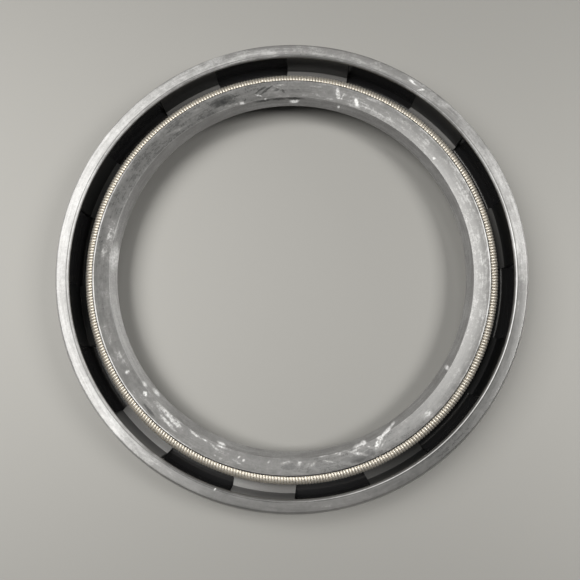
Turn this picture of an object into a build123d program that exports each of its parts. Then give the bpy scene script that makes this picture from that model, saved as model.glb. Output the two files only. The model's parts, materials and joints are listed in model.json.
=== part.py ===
from build123d import *
from math import cos, degrees, pi, radians, sin, tan
import os

# Radial shaft seal for a 55 mm shaft in a 72 mm housing bore, 8 mm wide: a rubber covered
# steel case with one spring-loaded sealing lip. Lengths are in millimetres and angles in
# degrees. The seal lies on its closed back face, z = 0, its axis is Z, and the spring side
# faces up. Radii are measured from the axis, and heights from the back face.

shaft_radius = 27.5
radial_space = 8.5          # shaft to housing bore
seal_width = 8.0            # back face to rim

# Rubber covering of the case, pressed into the housing bore
cover_wall = 1.1            # rubber outside the steel wall
back_skin = 0.6             # rubber under the steel flange
rim_cap = 1.0               # rubber over the steel wall's top edge
lead_in_width = 0.8         # bevel at the back, which guides the seal into its bore
lead_in_height = 1.2
rim_bevel_width = 0.4       # bevel round the outside of the rim
rim_bevel_height = 0.9

rim_overhang = 0.1          # the rim reaches in past the steel wall
window_cap = 0.5            # rim to the top of the windows

# Steel case: an L-section ring, pressed from sheet
sheet = 1.0
bend_radius = 1.3           # inside of the bend
bend_flats = 2              # a bend is drawn as this many flats
flange_clearance = 2.5      # flange's inner edge to the shaft

# Channel lining: parallel-sided pads, with windows down to the steel between them
pad_count = 10
pad_width = 9.6
pad_height = 0.8            # rubber over the flange
lining_foot = 0.55          # rubber inside the steel wall, down at the pads
window_setback = 1.0        # flange's inner edge to the windows

# Garter spring, and the groove that holds it in the back of the lip head
coil_radius = 1.05          # outside of the coil
coil_sides = 10             # the coil and its groove are drawn with this many sides
wire = 0.42
groove_clearance = 0.03
retainer_overlap = 0.62     # how far the groove's front lip covers the coil
shelf_overlap = 0.9         # the same for the shelf under the coil
shelf_thickness = 0.4
shelf_clearance = 0.67      # shelf down to the pads
joint_angle = 114.0         # where the spring's thinner end is screwed into its open end
joint_gap = 0.5             # length of thinner coil that shows there
joint_engagement = 2.5      # length of it inside the open end
joint_clearance = 0.05

# Lip head on its membrane
lip_interference = 0.57     # the free lip is this much smaller in radius than the shaft
head_wall = 2.9             # sealing edge to the bottom of the groove
spring_drop = 0.2           # spring centre below the sealing edge, towards the back
edge_land = 0.2             # narrow flat that runs on the shaft
oil_side_angle = 43.0       # cones on each side of the sealing edge, from the axis
air_side_angle = 25.0
head_rise = 1.35            # front face above the sealing edge, at its inner corner
face_rise = 0.5             # the front face rises this much more towards the spring
air_side_height = 2.55      # sealing edge down to the knee, where the cone meets the bore
bore_clearance = 1.4        # back skin's bore to the shaft
bore_depth = 1.2
neck_clearance = 2.0        # thinnest place of the membrane to the shaft, on its spring side
membrane_foot = 0.6         # how far the membrane's foot spreads past the neck

# Housing side: places that follow from the sizes above
housing_radius = shaft_radius + radial_space
rim_height = seal_width
steel_outer_radius = housing_radius - cover_wall
steel_inner_radius = steel_outer_radius - sheet
steel_top = rim_height - rim_cap
flange_top = back_skin + sheet
flange_inner_radius = shaft_radius + flange_clearance
rim_inner_radius = steel_inner_radius - rim_overhang
window_top = rim_height - window_cap
window_inner_radius = flange_inner_radius + window_setback
pad_top = flange_top + pad_height
lining_foot_radius = steel_inner_radius - lining_foot

# Shaft side: the groove stands on its shelf over the pads, and the lip head on the groove
groove_radius = coil_radius + groove_clearance
shelf_bottom = pad_top + shelf_clearance
spring_height = shelf_bottom + shelf_thickness + groove_radius
edge_height = spring_height + spring_drop
land_top = edge_height + edge_land
head_height = edge_height + head_rise
knee_height = edge_height - air_side_height
neck_height = (pad_top + shelf_bottom) / 2

sealing_radius = shaft_radius - lip_interference
face_inner_radius = sealing_radius + (head_height - land_top) * tan(radians(oil_side_angle))
knee_radius = sealing_radius + air_side_height * tan(radians(air_side_angle))
bore_radius = shaft_radius + bore_clearance
neck_radius = shaft_radius + neck_clearance
spring_radius = sealing_radius + head_wall + groove_radius
coil_inner_reach = spring_radius - coil_radius
retainer_radius = coil_inner_reach + retainer_overlap
shelf_radius = coil_inner_reach + shelf_overlap


def turned(outline, degrees_round=360.0):
    """Ring, or part of one, that a section in radius and height sweeps out round the axis."""
    return revolve(Plane.XZ * outline, Axis.Z, revolution_arc=degrees_round)


def section(*corners):
    """Closed section through its corners, each given as radius and height."""
    return make_face(Polyline(*corners, close=True))


def bend(wall_radius, flange_height, radius):
    """Corners of a bend in section, from the flange out and up to the wall."""
    turns = [radians(90 * flat / bend_flats) for flat in range(bend_flats + 1)]
    centre_radius, centre_height = wall_radius - radius, flange_height + radius
    return [(centre_radius + radius * sin(turn), centre_height - radius * cos(turn))
            for turn in turns]


outer_bend = bend(steel_outer_radius, back_skin, bend_radius + sheet)
inner_bend = bend(steel_inner_radius, flange_top, bend_radius)


def steel_case():
    """L-section ring: a wall against the housing and a flange across the back."""
    return turned(section(
        (flange_inner_radius, back_skin),
        *outer_bend,
        (steel_outer_radius, steel_top),
        (steel_inner_radius, steel_top),
        *reversed(inner_bend),
        (flange_inner_radius, flange_top),
    ))


def covering_corners():
    """From the bore, out over the back and up the outside, then down the steel wall."""
    return [
        (bore_radius, 0),
        (housing_radius - lead_in_width, 0),
        (housing_radius, lead_in_height),
        (housing_radius, rim_height - rim_bevel_height),
        (housing_radius - rim_bevel_width, rim_height),
        (rim_inner_radius, rim_height),
        (rim_inner_radius, window_top),
        (steel_inner_radius, window_top),
        *reversed(inner_bend),
        (window_inner_radius, flange_top),
        (window_inner_radius, pad_top),
    ]


def head_corners():
    """Up the membrane's spring side, over the lip head and down its air side."""
    return [
        (neck_radius + membrane_foot, pad_top),
        (neck_radius, neck_height),
        (shelf_radius, shelf_bottom),
        (shelf_radius, spring_height),
        (retainer_radius, spring_height),
        (retainer_radius, head_height + face_rise),
        (face_inner_radius, head_height),
        (sealing_radius, land_top),
        (sealing_radius, edge_height),
        (knee_radius, knee_height),
        (bore_radius, bore_depth),
    ]


def pads():
    """Lining of the channel, cut into parallel-sided pads that point at the axis."""
    lining = turned(section(
        (window_inner_radius, flange_top),
        *inner_bend,
        (steel_inner_radius, window_top),
        (rim_inner_radius, window_top),
        (lining_foot_radius, pad_top),
        (window_inner_radius, pad_top),
    ))
    from_axis = (Align.MIN, Align.CENTER, Align.MIN)
    bar = Box(housing_radius, pad_width, rim_height, align=from_axis)
    bars = [Rot(0, 0, pad * 360 / pad_count) * bar for pad in range(pad_count)]
    return [lining & pad_bar for pad_bar in bars]


def coil_section(radius):
    """Section of the coil or its groove, with a side facing the axis and one the housing."""
    centre = Pos(spring_radius, spring_height)
    return centre * RegularPolygon(radius, coil_sides, rotation=180 / coil_sides)


def rubber_body():
    """One moulding: covering, back skin, pads, membrane and lip head, round the steel."""
    body = section(*covering_corners(), *head_corners()) - coil_section(groove_radius)
    return turned(body) + pads() - steel_case()


def garter_spring():
    """Close-wound coil as a tube ring; its thinner end is screwed into its open end."""
    def ring_arc(radius, start, length):
        """Stretch of the ring, from and over lengths in mm along its centre circle."""
        degrees_per_mm = degrees(1 / spring_radius)
        arc = turned(coil_section(radius), length * degrees_per_mm)
        return Rot(0, 0, joint_angle + start * degrees_per_mm) * arc

    bore = coil_radius - wire
    coil_length = 2 * pi * spring_radius - joint_gap
    bore_length = joint_engagement + joint_clearance
    coil = ring_arc(coil_radius, 0, coil_length)
    open_end = ring_arc(bore, coil_length - bore_length, bore_length)
    thin_end = ring_arc(bore - joint_clearance, -joint_gap - joint_engagement,
                        joint_gap + joint_engagement)
    return coil - open_end + thin_end


def write_part(name, shape):
    """One STEP file for one physical piece."""
    shape.label = name
    export_step(shape, f"parts/{name}.step")
    box = shape.bounding_box()
    print(name, "solids", len(shape.solids()), "volume", round(shape.volume, 2),
          "from", box.min, "to", box.max)


os.makedirs("parts", exist_ok=True)
write_part("steel_case", steel_case())
write_part("rubber_body", rubber_body())
write_part("garter_spring", garter_spring())
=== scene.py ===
import json
from math import atan, atan2, cos, pi, radians, sin, sqrt, tan

import bmesh
import bpy
from mathutils import Matrix, Vector


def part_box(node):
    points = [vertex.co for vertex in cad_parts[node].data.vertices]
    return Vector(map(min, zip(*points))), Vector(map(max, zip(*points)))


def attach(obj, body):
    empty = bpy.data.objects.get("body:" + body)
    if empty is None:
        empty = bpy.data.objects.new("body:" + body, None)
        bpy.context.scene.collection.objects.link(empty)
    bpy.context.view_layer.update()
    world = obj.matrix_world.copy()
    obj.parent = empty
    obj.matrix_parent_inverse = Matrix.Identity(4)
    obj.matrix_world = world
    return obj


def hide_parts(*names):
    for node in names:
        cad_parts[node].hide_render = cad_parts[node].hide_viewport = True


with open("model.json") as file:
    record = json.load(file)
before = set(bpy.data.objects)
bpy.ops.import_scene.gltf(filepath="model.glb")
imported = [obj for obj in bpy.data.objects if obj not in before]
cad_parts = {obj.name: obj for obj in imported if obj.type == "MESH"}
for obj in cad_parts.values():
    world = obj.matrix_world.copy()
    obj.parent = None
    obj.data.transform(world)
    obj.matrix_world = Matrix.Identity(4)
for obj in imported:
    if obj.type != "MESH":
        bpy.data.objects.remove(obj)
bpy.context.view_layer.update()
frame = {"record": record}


# ---- Steel case ------------------------------------------------------------------------
# An L-section ring pressed from 1 mm sheet steel, which keeps the seal round and stiff. It
# is dipped in black bonding agent before the rubber is moulded round it, so it shows as
# glossy black where the mould's windows leave it bare.

mm = 0.001
ring_steps = 300            # facets round each turned piece

case_low, case_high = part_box("steel_case")
case_radius = case_high.x / mm
case_bottom = case_low.z / mm
case_top = case_high.z / mm
sheet = 1.0
bend_radius = 1.3           # inside of the bend
flange_inner_radius = 30.0
flange_top = case_bottom + sheet
wall_inner_radius = case_radius - sheet


def draw_section(name, corners):
    """A section drawn by extruding a vertex from corner to corner: (radius, height) in mm,
    or (radius, height, round, steps) where the corner is rounded."""
    points = [Vector((corner[0], 0, corner[1])) * mm for corner in corners]
    bpy.ops.object.select_all(action="DESELECT")
    bpy.ops.mesh.primitive_plane_add(size=mm, location=points[0])
    section = bpy.context.active_object
    section.name = name
    section.data.name = name
    bpy.ops.object.transform_apply()
    bpy.ops.object.mode_set(mode="EDIT")
    bpy.ops.mesh.select_all(action="SELECT")
    bpy.ops.mesh.merge(type="CENTER")
    for here, there in zip(points, points[1:]):
        bpy.ops.mesh.extrude_region_move(TRANSFORM_OT_translate={"value": there - here})
    bpy.ops.mesh.select_all(action="SELECT")
    bpy.ops.mesh.edge_face_add()
    for index, corner in enumerate(corners):
        if len(corner) == 4:
            before, here, after = points[index - 1], points[index], points[(index + 1) % len(points)]
            half_angle = (before - here).angle(after - here) / 2
            bpy.ops.mesh.select_all(action="DESELECT")
            edited = bmesh.from_edit_mesh(section.data)
            min(edited.verts, key=lambda vertex: (vertex.co - here).length).select_set(True)
            bmesh.update_edit_mesh(section.data)
            bpy.ops.mesh.bevel(
                affect="VERTICES",
                offset=corner[2] * mm / tan(half_angle),
                segments=corner[3],
            )
    return section


def turn_section(section, arc=360.0, steps=ring_steps):
    """Spins the section being edited round the seal's axis into a closed piece."""
    bpy.ops.mesh.select_all(action="SELECT")
    if arc == 360.0:
        bpy.ops.mesh.delete(type="ONLY_FACE")
        bpy.ops.mesh.select_all(action="SELECT")
    bpy.ops.mesh.spin(
        steps=steps, angle=-radians(arc), center=(0, 0, 0), axis=(0, 0, 1),
        use_auto_merge=arc == 360.0,
    )
    bpy.ops.mesh.select_all(action="SELECT")
    bpy.ops.mesh.remove_doubles(threshold=0.001 * mm)
    bpy.ops.mesh.normals_make_consistent(inside=False)
    bpy.ops.object.mode_set(mode="OBJECT")


def linear(hex_colour):
    """An sRGB hex colour as linear RGBA."""
    channels = [int(hex_colour[place:place + 2], 16) / 255 for place in (1, 3, 5)]
    return [c / 12.92 if c <= 0.04045 else ((c + 0.055) / 1.055) ** 2.4 for c in channels] + [1]


def add_node(material, kind, inputs=None, **settings):
    """Adds a shader node: its settings, then a value or a link for each of its inputs. A node
    given as an input stands for its first output."""
    new = material.node_tree.nodes.new("ShaderNode" + kind)
    for name, value in settings.items():
        setattr(new, name, value)
    for name, value in (inputs or {}).items():
        if isinstance(value, bpy.types.Node):
            value = value.outputs[0]
        if isinstance(value, bpy.types.NodeSocket):
            material.node_tree.links.new(value, new.inputs[name])
        else:
            new.inputs[name].default_value = value
    return new


def new_material(name):
    """An empty node material and its Principled shader."""
    material = bpy.data.materials.new(name)
    material.use_nodes = True
    return material, material.node_tree.nodes["Principled BSDF"]


case = draw_section("pressed_case", [
    (flange_inner_radius, case_bottom),
    (case_radius, case_bottom, bend_radius + sheet, 10),
    (case_radius, case_top),
    (wall_inner_radius, case_top),
    (wall_inner_radius, flange_top, bend_radius, 10),
    (flange_inner_radius, flange_top),
])
turn_section(case)
bpy.ops.object.shade_smooth_by_angle(angle=radians(30))

# Bonding agent: a thin black phenolic coat, dried on from a dip, which gives a soft gloss.
coat, shader = new_material("black_bonding_coat")
shader.inputs["Base Color"].default_value = linear("#262627")
shader.inputs["Roughness"].default_value = 0.2
shader.inputs["IOR"].default_value = 1.5
case.data.materials.append(coat)

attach(case, "root")
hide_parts("steel_case")


# ---- Rubber body -----------------------------------------------------------------------
# One compression moulding of black nitrile rubber round the steel case: outside covering,
# rim, back skin, the channel's lining with ten windows, the membrane and the lip head.

body_low, body_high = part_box("rubber_body")
housing_radius = body_high.x / mm
rim_height = body_high.z / mm
lip = next(mount for mount in frame["record"]["mounts"] if mount["name"] == "shaft_lip")
sealing_radius = lip["dims"]["r_mm"]
land_middle = lip["pos_m"][2] / mm
edge_land = lip["dims"]["length_mm"]
land_top = land_middle + edge_land / 2

spring_low, spring_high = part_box("garter_spring")
spring_height = (spring_low.z + spring_high.z) / 2 / mm
coil_radius = (spring_high.z - spring_low.z) / 2 / mm
spring_radius = 30.91

pad_count = 10
pad_width = 9.6
pad_top = 2.4
window_inner_radius = 31.0
window_top = 7.5
lining_foot_radius = 33.35
rim_inner_radius = 33.72
bore_radius = 28.9
bore_depth = 1.2
knee = (28.12, 2.2)
neck = (29.5, 2.735)
shelf_radius = 30.76
shelf_bottom = 3.07
retainer_radius = 30.56
face_outer_height = 6.6
face_crown = (29.5, 6.4)    # a little flatter from here out to the retainer
face_inner = (27.95, 6.06)

# the groove's round bottom, from the shelf in towards the axis and out to the retainer
groove_radius = coil_radius + 0.03
groove_from = -atan(sqrt(groove_radius ** 2 - (shelf_radius - spring_radius) ** 2)
                    / (spring_radius - shelf_radius))
groove_to = atan(sqrt(groove_radius ** 2 - (retainer_radius - spring_radius) ** 2)
                 / (spring_radius - retainer_radius))
groove_points = 18
groove_turns = [groove_from + (groove_to - groove_from) * point / groove_points
                for point in range(groove_points + 1)]
groove = [(spring_radius - groove_radius * cos(turn), spring_height + groove_radius * sin(turn))
          for turn in groove_turns]

moulding = draw_section("rubber_moulding", [
    (bore_radius, 0, 0.15, 2),
    (housing_radius - 0.8, 0, 0.4, 3),
    (housing_radius, 1.2, 0.4, 3),
    (housing_radius, rim_height - 0.9, 0.3, 3),
    (housing_radius - 0.35, rim_height, 0.2, 6),
    (rim_inner_radius, rim_height, 0.48, 10),
    (rim_inner_radius, window_top),
    (lining_foot_radius, pad_top, 0.08, 2),
    (neck[0] + 0.6, pad_top, 0.15, 3),
    (*neck, 0.15, 3),
    (shelf_radius, shelf_bottom, 0.1, 3),
    *groove,
    (retainer_radius, face_outer_height, 0.18, 6),
    (*face_crown, 6.0, 8),
    (*face_inner, 0.06, 3),
    (sealing_radius, land_top),
    (sealing_radius, land_middle - edge_land / 2),
    (*knee, 0.25, 4),
    (bore_radius, bore_depth, 0.25, 4),
])
turn_section(moulding)

# the moulding's inside is the case's own skin, turned inside out
bpy.ops.object.select_all(action="DESELECT")
case.select_set(True)
bpy.context.view_layer.objects.active = case
bpy.ops.object.duplicate()
cavity = bpy.context.active_object
cavity.parent = None
bpy.ops.object.mode_set(mode="EDIT")
bpy.ops.mesh.select_all(action="SELECT")
bpy.ops.mesh.flip_normals()
bpy.ops.object.mode_set(mode="OBJECT")
cavity.data.materials.clear()
moulding.select_set(True)
bpy.context.view_layer.objects.active = moulding
bpy.ops.object.join()

# windows: what the mould's ten bars keep clear of rubber between the parallel-sided pads
window_pitch = 2 * pi / pad_count
bar_reach = 0.05            # past the case's surface, so that the steel is left clean
cutter = draw_section("window_cutter", [
    (window_inner_radius, flange_top - bar_reach),
    (wall_inner_radius + bar_reach, flange_top - bar_reach),
    (wall_inner_radius + bar_reach, window_top),
    (window_inner_radius, window_top),
])
turn_section(cutter, arc=360 / pad_count, steps=ring_steps // pad_count)
bpy.ops.object.mode_set(mode="EDIT")
for pad_angle, side in ((0.0, 1), (window_pitch, -1)):
    across = Vector((-sin(pad_angle), cos(pad_angle), 0)) * side
    bpy.ops.mesh.select_all(action="SELECT")
    bpy.ops.mesh.bisect(
        plane_co=across * pad_width / 2 * mm, plane_no=across, use_fill=True, clear_inner=True,
    )
bpy.ops.mesh.select_all(action="SELECT")
bpy.ops.mesh.normals_make_consistent(inside=False)
for window in range(1, pad_count):
    bpy.ops.mesh.duplicate()
    bpy.ops.transform.rotate(
        value=window_pitch, orient_axis="Z", center_override=(0, 0, 0),
    )
bpy.ops.object.mode_set(mode="OBJECT")

bpy.ops.object.select_all(action="DESELECT")
moulding.select_set(True)
bpy.context.view_layer.objects.active = moulding
bpy.ops.object.modifier_add(type="BOOLEAN")
moulding.modifiers["Boolean"].object = cutter
moulding.modifiers["Boolean"].operation = "DIFFERENCE"
moulding.modifiers["Boolean"].solver = "EXACT"
bpy.ops.object.modifier_apply(modifier="Boolean")
bpy.data.objects.remove(cutter)
bpy.ops.object.shade_smooth_by_angle(angle=radians(30))

# Nitrile rubber: black from its carbon filler, with a silky moulded skin. Wax and sulphur
# bloom and handling scuffs turn the open skin grey in soft clouds and streaks. Over that grey
# lie painted light and shade round the seal, and the channel is kept black as painted shade.
rubber, shader = new_material("nitrile_rubber_bloom_and_painted_light")
shader.inputs["IOR"].default_value = 1.55
shader.inputs["Specular IOR Level"].default_value = 1.0
shader.inputs["Coat Weight"].default_value = 0.8
shader.inputs["Coat Roughness"].default_value = 0.32

place = add_node(rubber, "TexCoord").outputs["Object"]
split = add_node(rubber, "SeparateXYZ", {0: place})
height = split.outputs["Z"]
across_axis = add_node(rubber, "CombineXYZ", {0: split.outputs["X"], 1: split.outputs["Y"]})
radius = add_node(rubber, "VectorMath", {0: across_axis}, operation="LENGTH").outputs["Value"]
outward = add_node(rubber, "VectorMath", {0: across_axis}, operation="NORMALIZE")


def sum_of(*terms):
    """Adds up values, each given with its factor; either may be a number or a pattern."""
    total = 0.0
    for value, factor in terms:
        total = add_node(rubber, "Math", {0: value, 1: factor, 2: total}, operation="MULTIPLY_ADD")
    return total


def between(value, low, high, blur):
    """1 where a length in mm lies between two others, faded over the blur outside them."""
    edges = [add_node(rubber, "MapRange", {"Value": value, "From Min": off * mm, "From Max": on * mm},
                      interpolation_type="SMOOTHSTEP")
             for off, on in ((low - blur, low), (high + blur, high))]
    return add_node(rubber, "Math", {0: edges[0], 1: edges[1]}, operation="MULTIPLY")


def zone(radii, heights, blurs):
    """1 on a ring of the skin between two radii and two heights in mm."""
    return add_node(rubber, "Math", {
        0: between(radius, *radii, blurs[0]), 1: between(height, *heights, blurs[1]),
    }, operation="MULTIPLY")


def cloud(size, detail, vector=place, roughness=0.5):
    """Noise centred on 0, whose clouds are about this size in mm."""
    noise = add_node(rubber, "TexNoise", {
        "Vector": vector, "Scale": 1 / (size * mm), "Detail": detail, "Roughness": roughness,
    })
    return add_node(rubber, "Math", {0: noise, 1: 0.5}, operation="SUBTRACT")


streak_radius = 32.0        # between the lip and the rim, where a streak has its true length


def streak(long, wide, detail, roughness=0.5):
    """Noise drawn out round the seal, with streaks of about this length and width in mm."""
    ring = add_node(rubber, "VectorMath", {0: outward, "Scale": streak_radius / long}, operation="SCALE")
    level = sum_of((radius, 1 / (wide * mm)), (height, 1 / (wide * mm)))
    vector = add_node(rubber, "VectorMath", {0: ring, 1: add_node(rubber, "CombineXYZ", {2: level})})
    noise = add_node(rubber, "TexNoise", {
        "Vector": vector, "Scale": 1.0, "Detail": detail, "Roughness": roughness,
    })
    return add_node(rubber, "Math", {0: noise, 1: 0.5}, operation="SUBTRACT")


# the zones of the skin: the open skin takes bloom and painted light, and the black rubber of the channel
# and the groove is left bare as painted shade
on_rim = between(height, rim_height - 0.7, rim_height + 1, 0.4)
off_rim = add_node(rubber, "Math", {0: 1.0, 1: on_rim}, operation="SUBTRACT")
in_channel = zone((retainer_radius + 0.1, rim_inner_radius), (pad_top - 1.4, window_top + 0.25),
                  (0.1, 0.15))
in_groove = zone((neck[0] - 0.1, retainer_radius + 0.2), (pad_top - 1.4, face_outer_height - 0.7),
                 (0.1, 0.15))
shaded_recesses = add_node(rubber, "Math", {0: in_channel, 1: in_groove}, operation="MAXIMUM")
outside_recesses = add_node(rubber, "Math", {0: 1.0, 1: shaded_recesses}, operation="SUBTRACT")
on_cone = zone((sealing_radius - 0.03, face_inner[0]), (land_top - 0.15, face_inner[1] + 0.14),
               (0.1, 0.2))
on_pads = zone((window_inner_radius + 0.5, lining_foot_radius), (pad_top - 0.1, pad_top + 0.1),
               (0.08, 0.08))

# Scuffs from handling and from other seals in the bag, each a soft worn stroke: the angle in
# degrees and the radius in mm where it starts, the same where it ends, its width in mm, and
# how strong it is from 0 to 1.
scuffs = [
    # on the lip, round from the +X side
    (28.1, 28.3, 28.5, 28.7, 0.5, 0.55),
    (57.7, 28.4, 59.3, 29.4, 0.45, 0.65),
    (63.4, 28.4, 62.7, 29.7, 0.25, 0.3),
    (63.4, 27.4, 63.6, 27.6, 0.3, 0.45),
    (63.9, 28.9, 64.4, 28.5, 0.3, 0.45),
    (65.2, 30.2, 64.2, 28.5, 0.6, 0.5),
    (76.8, 27.5, 79.5, 27.4, 0.4, 0.5),
    (81.5, 29.9, 83.5, 29.8, 0.2, 0.25),
    (83.2, 29.4, 85.0, 30.0, 0.25, 0.3),
    (87.0, 27.9, 87.8, 28.0, 0.35, 0.35),
    (88.3, 28.3, 90.7, 29.0, 0.25, 0.4),
    (94.2, 28.0, 96.2, 28.3, 0.45, 0.4),
    (96.5, 28.2, 100.8, 28.4, 0.35, 0.3),
    (112.0, 28.4, 121.5, 29.3, 0.35, 0.25),
    (151.5, 28.6, 159.0, 28.7, 1.35, 0.3),
    (158.5, 29.0, 163.6, 29.0, 0.85, 0.3),
    (159.5, 27.5, 167.5, 27.5, 1.15, 0.25),
    (192.0, 29.1, 197.0, 29.1, 0.8, 0.2),
    (199.7, 29.0, 200.9, 29.0, 0.6, 0.45),
    (205.3, 27.8, 207.3, 27.9, 0.5, 0.35),
    (208.1, 28.5, 209.6, 28.8, 0.5, 0.75),
    (209.0, 27.3, 212.0, 27.3, 0.45, 0.35),
    (215.0, 28.2, 224.5, 28.8, 0.6, 0.4),
    (216.5, 29.1, 223.5, 29.5, 0.45, 0.4),
    (220.0, 28.3, 224.0, 28.7, 0.8, 0.4),
    (226.2, 28.1, 230.4, 28.4, 0.3, 0.55),
    (230.4, 28.3, 233.5, 28.4, 0.25, 0.35),
    (233.5, 28.3, 237.0, 28.8, 0.3, 0.35),
    (235.7, 27.7, 238.5, 27.8, 0.35, 0.5),
    (236.5, 28.2, 239.5, 28.1, 0.25, 0.35),
    (236.5, 29.6, 237.0, 29.8, 0.35, 0.3),
    (241.5, 29.3, 244.8, 29.7, 0.3, 0.3),
    (243.3, 29.0, 243.8, 28.5, 0.3, 0.45),
    (245.0, 29.2, 245.3, 28.8, 0.35, 0.6),
    (252.2, 28.8, 253.0, 28.3, 0.35, 0.5),
    (256.0, 28.7, 260.0, 28.3, 0.4, 0.3),
    (261.0, 29.0, 262.5, 28.4, 0.6, 0.4),
    (263.2, 29.3, 264.8, 28.7, 0.4, 0.35),
    (264.6, 29.4, 266.6, 28.6, 0.4, 0.4),
    (267.9, 28.1, 271.0, 28.1, 0.4, 0.35),
    (268.3, 28.4, 272.6, 29.3, 0.2, 0.55),
    (271.5, 28.1, 276.0, 28.2, 0.4, 0.45),
    (276.0, 28.0, 282.0, 29.6, 0.4, 0.5),
    (278.0, 28.4, 281.2, 28.1, 0.5, 0.5),
    (279.0, 28.0, 283.0, 28.1, 0.8, 0.4),
    (281.3, 27.8, 283.2, 27.8, 0.6, 0.65),
    (282.5, 28.3, 285.0, 29.3, 0.3, 0.35),
    (284.8, 29.3, 287.5, 28.3, 0.65, 0.75),
    (285.2, 29.4, 288.5, 30.3, 0.4, 0.25),
    (286.3, 29.5, 288.6, 28.8, 0.25, 0.35),
    (286.5, 28.4, 288.5, 28.2, 0.7, 0.75),
    (287.5, 28.3, 292.3, 27.6, 0.45, 0.7),
    (291.8, 27.7, 294.0, 27.3, 0.3, 0.4),
    (303.0, 30.0, 303.0, 28.9, 1.4, 0.25),
    (317.6, 27.8, 318.6, 27.4, 0.5, 0.45),
    # on the rim
    (43.2, 35.1, 44.6, 34.4, 0.3, 0.4),
    (45.6, 34.9, 48.0, 35.2, 0.3, 0.5),
    (240.0, 34.1, 240.4, 34.2, 0.4, 0.7),
]
# Dull places in the bloom, where something lay against the seal.
rubbed = [
    (75.5, 27.8, 81.0, 27.8, 0.25, 0.4),
    (80.5, 27.8, 86.0, 27.8, 0.25, 0.35),
    (85.5, 27.8, 91.0, 27.8, 0.25, 0.35),
    (81.2, 28.7, 82.0, 29.0, 0.35, 0.3),
    (82.8, 29.3, 84.6, 29.0, 0.35, 0.3),
    (84.8, 29.8, 89.0, 28.7, 0.3, 0.4),
    (87.0, 29.8, 90.5, 29.0, 0.3, 0.35),
    (96.2, 29.2, 97.8, 29.8, 0.2, 0.3),
    (96.8, 29.2, 104.0, 29.4, 1.15, 0.3),
    (210.5, 29.7, 216.0, 29.9, 0.4, 0.3),
    (256.5, 29.1, 260.2, 29.1, 0.8, 0.35),
    (276.0, 29.4, 282.0, 30.0, 0.8, 0.25),
    (281.5, 29.3, 284.2, 29.7, 0.8, 0.3),
]
# the strokes' ragged outlines: every place is shifted about by up to an eighth of a millimetre
ragged = add_node(rubber, "TexNoise", {"Vector": place, "Scale": 1 / (0.5 * mm), "Detail": 2.0})
ragged = add_node(rubber, "VectorMath", {
    0: ragged.outputs["Color"], 1: (0.25 * mm,) * 3, 2: place,
}, operation="MULTIPLY_ADD")
ragged = add_node(rubber, "VectorMath", {0: ragged, 1: (0.125 * mm,) * 3}, operation="SUBTRACT")


def on_skin(angle, from_axis):
    """A place on the upper skin of the lip or the rim, from its angle and its radius in mm."""
    corners = [(sealing_radius, land_top), face_inner, face_crown, (retainer_radius, face_outer_height)]
    level = rim_height
    for (inner, low), (outer, high) in zip(corners, corners[1:]):
        if inner <= from_axis < outer:
            level = low + (high - low) * (from_axis - inner) / (outer - inner)
    return Vector((from_axis * cos(radians(angle)), from_axis * sin(radians(angle)), level)) * mm


def strokes(marks):
    """The strongest of the marks at each place, each fading out just past its ends and sides."""
    strongest = 0.0
    for from_angle, from_radius, to_angle, to_radius, width, strength in marks:
        start = on_skin(from_angle, from_radius)
        end = on_skin(to_angle, to_radius)
        along = end - start
        own = add_node(rubber, "Mapping", {
            "Vector": ragged,
            "Location": (start + end) / 2,
            "Rotation": (0, 0, atan2(along.y, along.x)),
            "Scale": (0.67 * along.length, 0.75 * width * mm, 1.2 * mm),
        }, vector_type="TEXTURE")
        fade = add_node(rubber, "TexGradient", {"Vector": own}, gradient_type="SPHERICAL")
        mark = add_node(rubber, "MapRange", {
            "Value": fade.outputs["Fac"], "From Max": 0.6, "To Max": strength,
        })
        strongest = add_node(rubber, "Math", {0: mark, 1: strongest}, operation="MAXIMUM")
    return strongest


# Painted light and shade, every 30 degrees round the seal from the -X side: how much lighter
# the rim, the pads, the lip's face and the retainer's edge are painted where the lamps light or
# mirror them, and how much darker where they are shaded. One colour ramp carries all four.
turn = add_node(rubber, "Math", {0: split.outputs["Y"], 1: split.outputs["X"]}, operation="ARCTAN2")
turn = add_node(rubber, "MapRange", {"Value": turn, "From Min": -pi, "From Max": pi})
painted_light_ramp = add_node(rubber, "ValToRGB", {0: turn})
painted_light_weights = [
    (0.70, 0.00, 0.55, 0.70), (0.75, 0.70, 0.60, 0.60), (0.40, 0.70, 0.60, 0.10),
    (0.55, 0.50, 0.45, 0.00), (0.35, 0.05, 0.50, 0.05), (0.45, 0.00, 0.65, 0.35),
    (0.75, 0.30, 0.75, 0.45), (0.65, 0.65, 0.65, 0.20), (0.55, 0.55, 0.65, 0.05),
    (0.60, 0.55, 0.45, 0.00), (0.70, 0.50, 0.40, 0.10), (0.80, 0.20, 0.50, 0.60),
]
stops = painted_light_ramp.color_ramp.elements
for step in range(1, len(painted_light_weights)):
    stops.new(step / len(painted_light_weights))
for stop, weight in zip(stops, painted_light_weights + painted_light_weights[:1]):
    stop.color = weight
rim_painted_light, pad_painted_light, face_painted_light = add_node(rubber, "SeparateColor", {0: painted_light_ramp}).outputs
retainer_highlight_by_angle = painted_light_ramp.outputs["Alpha"]

# painted highlight: a bright line on the rim's inner rounding on the +X -Y side, with a painted dark
# line beside it all round
rim_edge_painted_highlight = between(radius, rim_inner_radius + 0.28, rim_inner_radius + 0.36, 0.07)
rim_painted_shade_line = between(radius, rim_inner_radius + 0.4, rim_inner_radius + 0.48, 0.06)
rim_highlight_side = add_node(rubber, "VectorMath", {0: outward, 1: (0.71, -0.71, 0)}, operation="DOT_PRODUCT")
rim_highlight_side = add_node(rubber, "MapRange", {
    "Value": rim_highlight_side.outputs["Value"], "From Min": 0.5, "To Max": 0.4,
})

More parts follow.
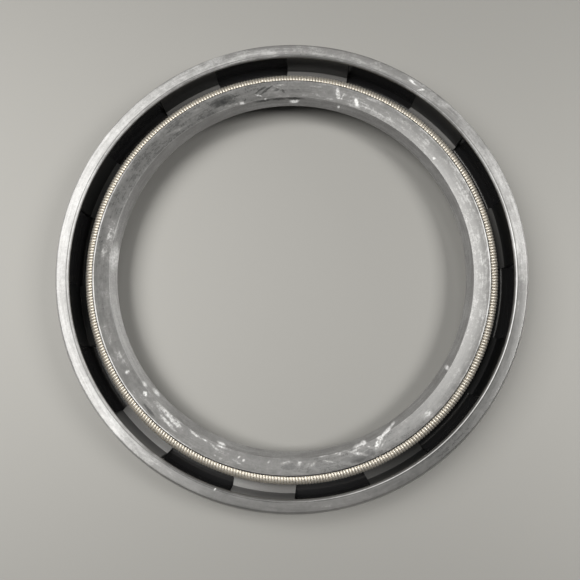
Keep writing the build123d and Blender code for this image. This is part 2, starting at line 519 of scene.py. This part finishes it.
# painted shade on the retainer's rounded edge beside the spring, and a painted highlight in a line just
# inside it, strongest on the -X side and fainter on the +X side
retainer_painted_shade = between(radius, retainer_radius - 0.12, retainer_radius + 0.1, 0.05)
retainer_painted_highlight = between(radius, retainer_radius - 0.29, retainer_radius - 0.19, 0.05)

# painted light: the lip's cone is painted slightly lighter towards the -Y side
cone_painted_light_side = add_node(rubber, "MapRange", {
    "Value": split.outputs["Y"], "From Min": 18 * mm, "From Max": -2 * mm, "To Max": 0.02,
})

# moulding streaks, soft mottle and thin smears, all fainter on the rim and the cone
streaks = streak(long=5.0, wide=0.35, detail=4.0)
mottle = streak(long=5.0, wide=2.2, detail=5.0, roughness=0.85)
mottle = add_node(rubber, "Math", {0: mottle, 1: -0.05, 2: 0.05}, operation="SMOOTH_MAX")
smears = cloud(size=2.2, detail=4.0, vector=ragged, roughness=0.7)
smears = add_node(rubber, "Math", {0: smears}, operation="ABSOLUTE")
smears = add_node(rubber, "MapRange", {"Value": smears, "From Min": 0.07, "From Max": 0.0})

# bloom with painted light and shade, from 0, clean black, to 1, white
bloom_and_painted_light = sum_of(
    (rim_painted_light, on_rim),
    (face_painted_light, sum_of((off_rim, 0.8), (on_cone, -0.75))),
    (on_cone, 0.58),
    (on_cone, cone_painted_light_side),
    (rim_edge_painted_highlight, rim_highlight_side),
    (rim_painted_shade_line, -0.2),
    (retainer_painted_shade, -0.8),
    (retainer_painted_highlight, sum_of((retainer_highlight_by_angle, 0.6))),
    (streaks, sum_of((outside_recesses, 0.35), (on_rim, -0.05), (on_cone, -0.22))),
    (sum_of((mottle, 1.0), (smears, 0.1)), sum_of((outside_recesses, 1.0), (on_rim, -0.5), (on_cone, -0.88))),
)
# the pads take their own painted light and shade; the scuffs and the dull places come on top
bloom_and_painted_light = sum_of(
    (bloom_and_painted_light, outside_recesses),
    (on_pads, pad_painted_light),
    (strokes(scuffs), sum_of((cloud(size=0.35, detail=3.0), 1.6), (0.62, 1.0))),
    (strokes(rubbed), -0.9),
    (cloud(size=0.12, detail=1.0), 0.12),
)

skin = add_node(rubber, "ValToRGB", {0: bloom_and_painted_light})
stops = skin.color_ramp.elements
for position in (0.35, 0.6):
    stops.new(position)
for stop, colour in zip(stops, ("#0e0f10", "#535352", "#767574", "#ffffff")):
    stop.color = linear(colour)
rubber.node_tree.links.new(skin.outputs[0], shader.inputs["Base Color"])
dullness = add_node(rubber, "MapRange", {"Value": bloom_and_painted_light, "To Min": 0.18, "To Max": 0.45})
rubber.node_tree.links.new(dullness.outputs[0], shader.inputs["Roughness"])

# the moulded skin's fine tooth from the mould's spark-eroded face, drawn coarse enough to show
tooth = sum_of((cloud(size=0.15, detail=2.0), 1.0), (streaks, 0.5))
relief = add_node(rubber, "Bump", {"Height": tooth, "Strength": 0.3, "Distance": 0.006 * mm})
rubber.node_tree.links.new(relief.outputs[0], shader.inputs["Normal"])
moulding.data.materials.append(rubber)

# The same rubber where the mould's bars pressed the pads' tops: matte, without the skin's
# gloss, so the pads stay an even grey from every side.
matte = rubber.copy()
matte.name = "nitrile_rubber_matte"
shader = matte.node_tree.nodes["Principled BSDF"]
shader.inputs["Coat Weight"].default_value = 0
shader.inputs["Specular IOR Level"].default_value = 0.3
matte.node_tree.links.remove(shader.inputs["Roughness"].links[0])
shader.inputs["Roughness"].default_value = 0.7
moulding.data.materials.append(matte)
for face in moulding.data.polygons:
    from_axis = Vector((*face.center.xy, 0)).length
    if abs(face.center.z - pad_top * mm) < 0.02 * mm and from_axis > window_inner_radius * mm:
        face.material_index = 1

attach(moulding, "root")
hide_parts("rubber_body")


# ---- Garter spring ---------------------------------------------------------------------
# Close-wound extension spring of drawn steel wire, its ends joined into a ring: the last
# turns at one end are wound thinner and screwed into the open other end. It is stretched
# over the lip head and snaps into the groove.

wire = 0.446
spring_turns = 432
joint_gap = 0.5             # length of thinner turns that shows where the two ends meet
thin_length = 3.0           # length of thinner turns in all
taper_length = 0.7
wire_sides = 6
turn_steps = 12
coil_mean_radius = coil_radius - wire / 2
ring_length = 2 * pi * spring_radius
pitch = ring_length / spring_turns
all_turns = spring_turns + round((thin_length - joint_gap) / pitch)
thin_mean_radius = coil_mean_radius - wire - 0.03

bpy.ops.object.select_all(action="DESELECT")
bpy.ops.mesh.primitive_circle_add(
    vertices=wire_sides, radius=wire / 2 * mm, rotation=(pi / 2, 0, 0),
    location=(0, 0, coil_mean_radius * mm),
)
spring = bpy.context.active_object
spring.name = "wound_spring"
spring.data.name = "wound_spring"
bpy.ops.object.transform_apply()
bpy.ops.object.modifier_add(type="SCREW")
screw = spring.modifiers["Screw"]
screw.axis = "X"
screw.screw_offset = pitch * mm
screw.iterations = all_turns
screw.steps = turn_steps
screw.render_steps = turn_steps
screw.use_merge_vertices = False
bpy.ops.object.modifier_apply(modifier="Screw")
bpy.ops.object.mode_set(mode="EDIT")
bpy.ops.mesh.select_all(action="SELECT")
bpy.ops.mesh.fill_holes(sides=wire_sides)
bpy.ops.mesh.select_all(action="SELECT")
bpy.ops.mesh.normals_make_consistent(inside=False)
bpy.ops.object.mode_set(mode="OBJECT")

# the thinner turns run in from the spring's far end
coil_end = all_turns * pitch * mm
for vertex in spring.data.vertices:
    along = (coil_end - vertex.co.x) / mm
    if along < thin_length:
        share = min(1, (thin_length - along) / taper_length)
        distance = Vector((0, vertex.co.y, vertex.co.z)).length
        shrunk = distance - share * (coil_mean_radius - thin_mean_radius) * mm
        vertex.co.y *= shrunk / distance
        vertex.co.z *= shrunk / distance

extent = [f(vertex.co.x for vertex in spring.data.vertices) for f in (min, max)]
spring.data.transform(Matrix.Translation((-sum(extent) / 2, 0, 0)))
bpy.ops.object.modifier_add(type="SIMPLE_DEFORM")
ring_bend = spring.modifiers["SimpleDeform"]
ring_bend.deform_method = "BEND"
ring_bend.deform_axis = "Z"
ring_bend.angle = (extent[1] - extent[0]) / (spring_radius * mm)
bpy.ops.object.modifier_apply(modifier="SimpleDeform")
spring.data.transform(Matrix.Translation((0, -spring_radius * mm, spring_height * mm)))
bpy.ops.object.shade_smooth()

# Drawn steel wire, blued a little to a straw tint when the spring is stress relieved.
steel_wire, shader = new_material("straw_tinted_spring_wire")
shader.inputs["Base Color"].default_value = linear("#fff9ee")
shader.inputs["Metallic"].default_value = 0.87
shader.inputs["Roughness"].default_value = 0.5
spring.data.materials.append(steel_wire)

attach(spring, "root")
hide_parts("garter_spring")


# ---- Floor, light and camera -----------------------------------------------------------
# A plain pale tabletop that the seal lies on, under a soft window at the left and one at the
# right, with weak light from far across the room and two small lamps overhead. The camera
# looks almost straight down.

bpy.ops.object.select_all(action="DESELECT")
bpy.ops.mesh.primitive_plane_add(size=3)
floor = bpy.context.active_object
floor.name = "tabletop"

# Pale grey lacquer with a fine metal flake, which gives the tabletop a soft, even sheen.
lacquer, shader = new_material("pale_tabletop")
shader.inputs["Base Color"].default_value = linear("#a6a5a2")
shader.inputs["Roughness"].default_value = 0.55
shader.inputs["Metallic"].default_value = 0.5
floor.data.materials.append(lacquer)

view_turn = radians(-10.88)     # the view's right, seen from +X
view_tilt = radians(6.48)
view_swing = radians(1.22)
view_distance = 140.76          # in mm, from the middle of the rim's plane
view_shift = (-0.097, -2.673)   # in mm
window_distance = 0.6           # in m


def soft_window(name, azimuth, height_angle, width, length, watts):
    """An area light that faces the seal. Its azimuth is counted anticlockwise from the
    right of the view, and both angles are in degrees."""
    aside = radians(azimuth) + view_turn
    above = radians(height_angle)
    place = Vector((cos(aside) * cos(above), sin(aside) * cos(above), sin(above))) * window_distance
    bpy.ops.object.light_add(type="AREA", location=place)
    window = bpy.context.active_object
    window.name = name
    window.data.shape = "RECTANGLE"
    window.data.size = width
    window.data.size_y = length
    window.data.energy = watts
    window.data.color = (1, 0.985, 0.95)
    window.rotation_euler = place.to_track_quat("Z", "Y").to_euler()


soft_window("window_left", azimuth=165, height_angle=61, width=0.36, length=0.36, watts=2.3)
soft_window("window_right", azimuth=3, height_angle=55, width=0.18, length=0.22, watts=1.5)
soft_window("far_window", azimuth=22, height_angle=14, width=0.5, length=0.16, watts=0.7)
soft_window("lamp_above", azimuth=200, height_angle=74, width=0.1, length=0.1, watts=0.14)
soft_window("lamp_behind", azimuth=78, height_angle=69, width=0.12, length=0.12, watts=0.16)

world = bpy.data.worlds.new("room")
bpy.context.scene.world = world
world.use_nodes = True
world.node_tree.nodes["Background"].inputs["Color"].default_value = (0.04, 0.04, 0.04, 1)

turned = Matrix.Rotation(view_turn, 4, "Z") @ Matrix.Rotation(view_tilt, 4, "X")
turned = turned @ Matrix.Rotation(view_swing, 4, "Y")
rim_centre = Matrix.Translation((0, 0, rim_height * mm))
back_off = Matrix.Translation(Vector((*view_shift, view_distance)) * mm)
bpy.ops.object.camera_add()
camera = bpy.context.active_object
camera.name = "view"
camera.matrix_world = rim_centre @ turned @ back_off
camera.data.lens = 57.8
camera.data.sensor_width = 36
camera.data.clip_start = 0.01
bpy.context.scene.camera = camera
bpy.context.scene.view_settings.view_transform = "Standard"
